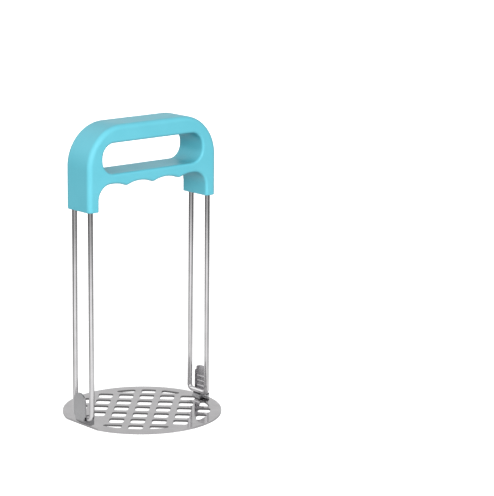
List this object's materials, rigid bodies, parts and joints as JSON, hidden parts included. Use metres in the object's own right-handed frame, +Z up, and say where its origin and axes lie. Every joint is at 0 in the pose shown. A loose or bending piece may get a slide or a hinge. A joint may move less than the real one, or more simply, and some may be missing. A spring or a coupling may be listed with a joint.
{
  "type": "potato masher",
  "caption": "Upright hand masher: perforated round disc on two wire loops under a bridge handle with finger grooves; the disc drops open on a hinge and latches shut.",
  "frame": {"origin": "centre of the disc's underside, on the surface the tool stands on; the middle of the object's plan", "axes": "+Z up to the handle, +X from the hinge side (ear) to the latch side (thumb lever) along the handle, -Y the front"},
  "size_m": [0.121, 0.1208, 0.2256],
  "materials": {
    "handle_plastic": "satin moulded polypropylene, light turquoise",
    "loop_wire": "bright polished stainless wire",
    "disc_steel": "polished stainless sheet",
    "bracket_steel": "satin stainless sheet",
    "lever_steel": "satin stainless pressing",
    "dark_steel": "darkened spring steel",
    "spring_steel": "plain spring steel",
    "rivet_steel": "bright steel"
  },
  "bodies": {
    "handle": {"handle_front_shell": "handle_plastic", "handle_rear_shell": "handle_plastic", "left_wire_loop": "loop_wire", "right_wire_loop": "loop_wire", "wire_lock_rings": "spring_steel"},
    "plate": {"masher_plate": "disc_steel", "hinge_bracket": "bracket_steel", "hinge_keeper": "bracket_steel", "hinge_rivets": "rivet_steel", "latch_base": "dark_steel", "latch_pin": "dark_steel", "latch_rivets": "rivet_steel"},
    "latch": {"latch_lever": "lever_steel"}
  },
  "joints": [
    {"name": "plate_hinge", "type": "hinge", "parent": "handle", "child": "plate", "pos_m": [-0.056, 0, 0.0056], "axis": [0, 1, 0], "range_deg": [0, 95]},
    {"name": "latch_hinge", "type": "hinge", "parent": "plate", "child": "latch", "pos_m": [0.0593, 0, 0.0038], "axis": [0, 1, 0], "range_deg": [0, 20]}
  ]
}
